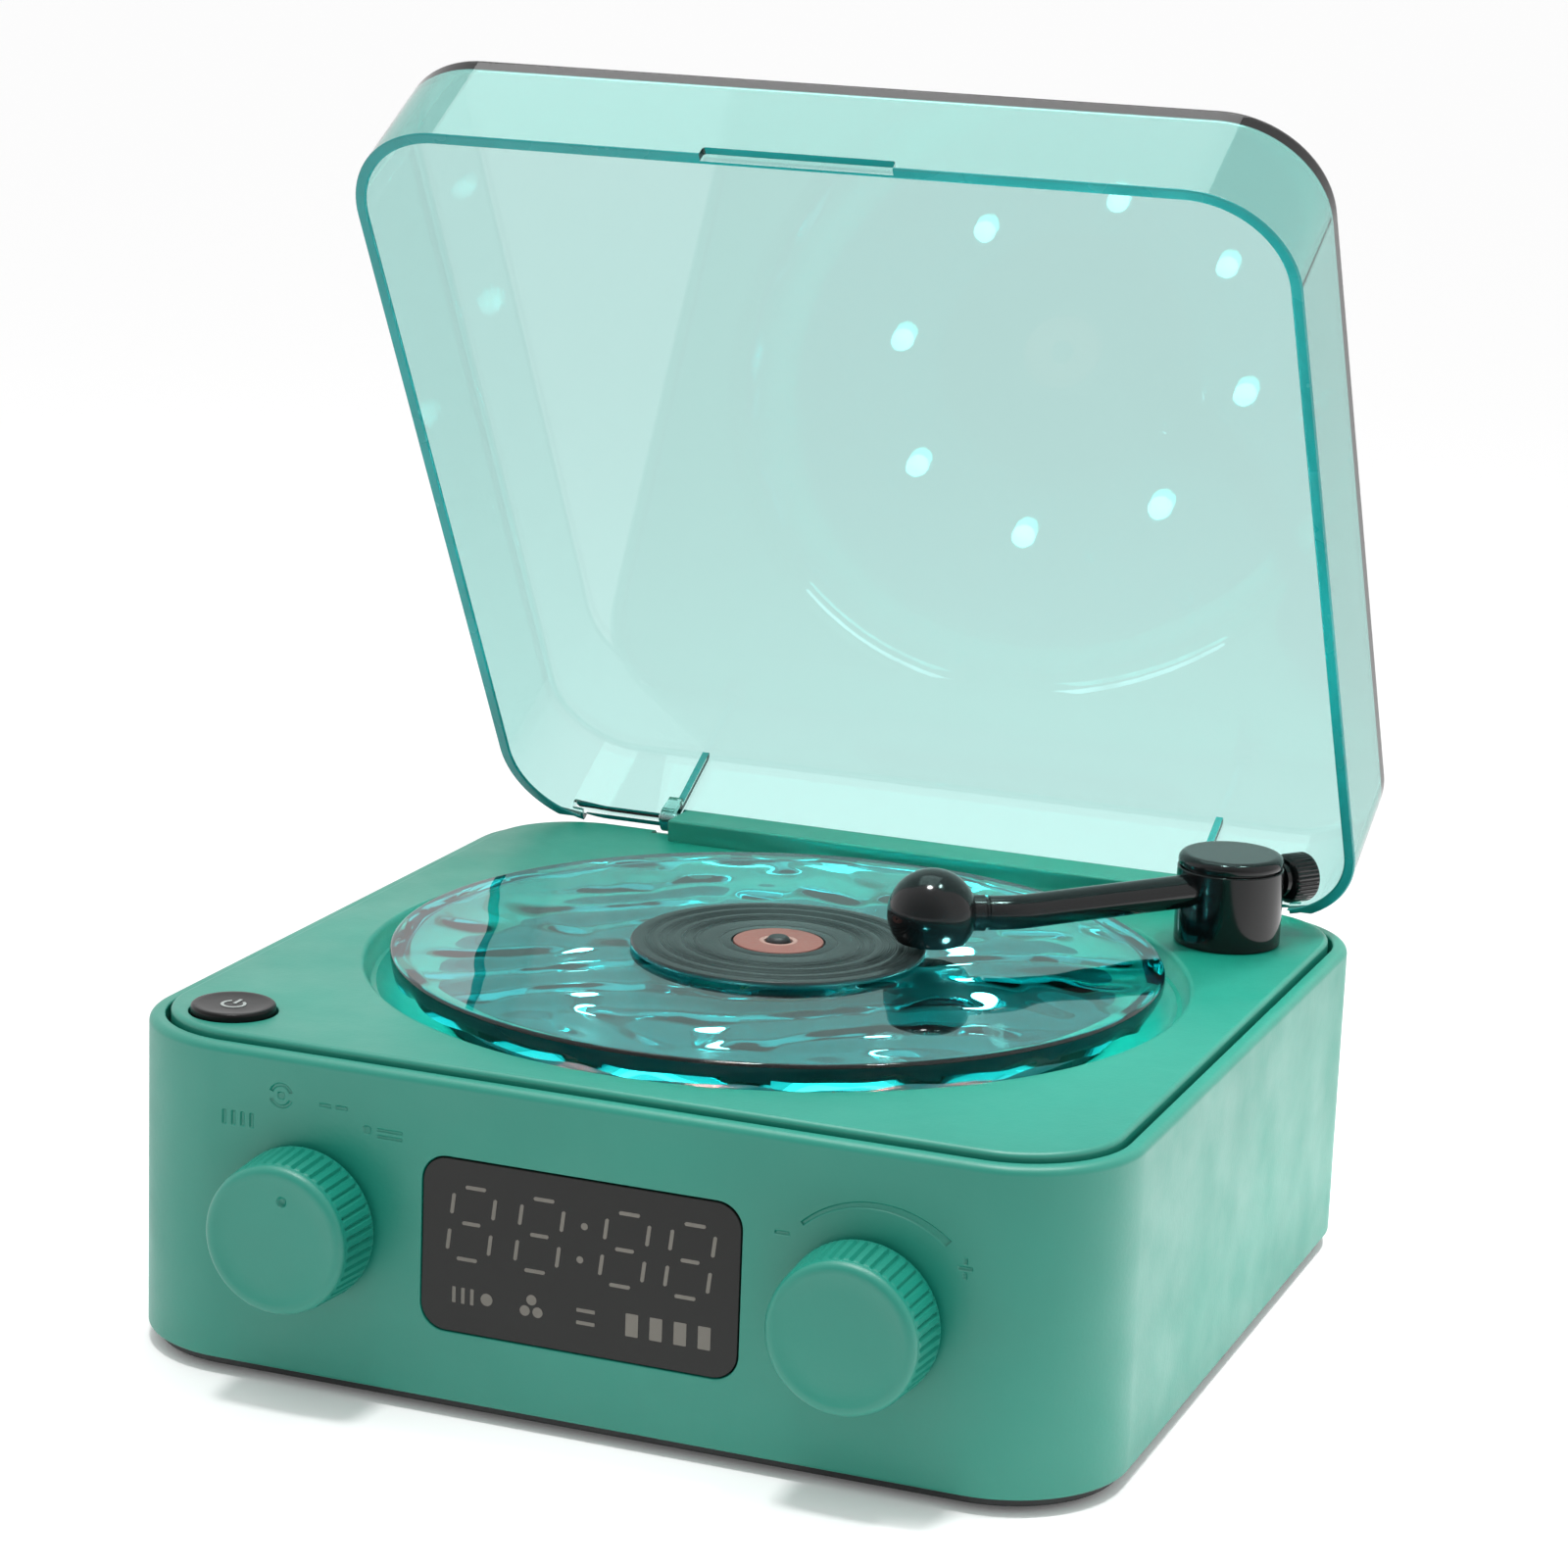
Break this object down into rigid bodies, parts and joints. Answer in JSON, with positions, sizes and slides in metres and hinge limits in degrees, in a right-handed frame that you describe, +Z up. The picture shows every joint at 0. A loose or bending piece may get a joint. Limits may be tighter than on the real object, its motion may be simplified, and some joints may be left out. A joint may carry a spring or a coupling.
{
  "type": "suitcase record player",
  "caption": "Small lidded desktop speaker shaped like a suitcase record player, with a lit rippled disc, tonearm, clock display and knobs.",
  "frame": {"origin": "centre of the open player's footprint box, on the surface that the feet stand on", "axes": "+Z up, front with the knobs towards -Y, +X to the right seen from the front"},
  "size_m": [0.14, 0.1562, 0.1707],
  "materials": {
    "green_plastic": "satin moulded, fine texture",
    "black_plastic": "matte moulded",
    "gloss_black": "polished",
    "window_black": "smoked, polished",
    "clear_teal": "clear tinted acrylic",
    "ripple_acrylic": "clear tinted acrylic with a rippled underside",
    "record_black": "grooved",
    "label_paper": "printed, plain",
    "nylon": "natural nylon",
    "light_board_green": "green solder mask",
    "brass": "turned",
    "board": "solder mask",
    "battery_foil": "foil wrap",
    "cone_paper": "pressed pulp",
    "magnet": "ferrite",
    "port_steel": "plated",
    "steel": "plated",
    "foot_rubber": "moulded"
  },
  "bodies": {
    "cabinet": {"body_shell": "green_plastic", "top_deck": "green_plastic", "base_plate": "black_plastic", "foot_front_left": "foot_rubber", "foot_front_right": "foot_rubber", "foot_rear_left": "foot_rubber", "foot_rear_right": "foot_rubber", "base_screw_front_left": "steel", "base_screw_front_right": "steel", "base_screw_rear_left": "steel", "base_screw_rear_right": "steel", "hinge_bar": "green_plastic", "hinge_pin_left": "steel", "hinge_pin_right": "steel", "spindle_bush": "brass", "light_board": "light_board_green", "motor": "steel", "motor_bracket": "steel", "tonearm_bush": "brass", "mode_selector": "steel", "volume_control": "steel", "display_window": "window_black", "display_module": "nylon", "display_board": "board", "key_switch": "steel", "key_board": "board", "speaker_frame": "steel", "speaker_cone": "cone_paper", "speaker_magnet": "magnet", "rear_grille": "black_plastic", "usb_port": "port_steel", "card_slot": "port_steel", "port_board": "board", "main_board": "board", "battery": "battery_foil"},
    "lid": {"lid": "clear_teal"},
    "turntable": {"ripple_disc": "ripple_acrylic", "mini_record": "record_black", "record_label": "label_paper", "spindle": "black_plastic", "platter_gear": "nylon"},
    "motor_rotor": {"motor_shaft": "steel", "motor_pinion": "brass"},
    "tonearm": {"tonearm_post": "gloss_black", "tonearm_cap": "gloss_black", "tonearm_tube": "gloss_black", "tonearm_head": "gloss_black", "counterweight": "gloss_black", "tonearm_shaft": "steel"},
    "mode_knob": {"mode_knob": "green_plastic", "mode_shaft": "steel"},
    "volume_knob": {"volume_knob": "green_plastic", "volume_shaft": "steel"},
    "power_key": {"power_key": "gloss_black"}
  },
  "joints": [
    {"name": "lid_hinge", "type": "hinge", "parent": "cabinet", "child": "lid", "pos_m": [0, 0.06282, 0.04914], "axis": [-1, 0, 0], "range_deg": [-59.6, 8]},
    {"name": "turntable_spin", "type": "hinge", "parent": "cabinet", "child": "turntable", "pos_m": [0, -0.00083, 0.0422], "axis": [0, 0, 1], "continuous": true},
    {"name": "motor_spin", "type": "hinge", "parent": "cabinet", "child": "motor_rotor", "pos_m": [0, -0.02508, 0.0332], "axis": [0, 0, 1], "continuous": true},
    {"name": "tonearm_swivel", "type": "hinge", "parent": "cabinet", "child": "tonearm", "pos_m": [0.0536, 0.04277, 0.0472], "axis": [0, 0, 1], "range_deg": [-10, 28]},
    {"name": "mode_turn", "type": "hinge", "parent": "cabinet", "child": "mode_knob", "pos_m": [-0.0394, -0.06873, 0.0238], "axis": [0, -1, 0], "range_deg": [-60, 60]},
    {"name": "volume_turn", "type": "hinge", "parent": "cabinet", "child": "volume_knob", "pos_m": [0.0394, -0.06873, 0.0238], "axis": [0, -1, 0], "range_deg": [-140, 140]},
    {"name": "power_press", "type": "slide", "parent": "cabinet", "child": "power_key", "axis": [0, 0, -1], "range_m": [0, 0.0006], "stiffness_N_per_m": 900}
  ],
  "couplings": [
    {"joint": "motor_spin", "follows": "turntable_spin", "ratio": -3}
  ]
}
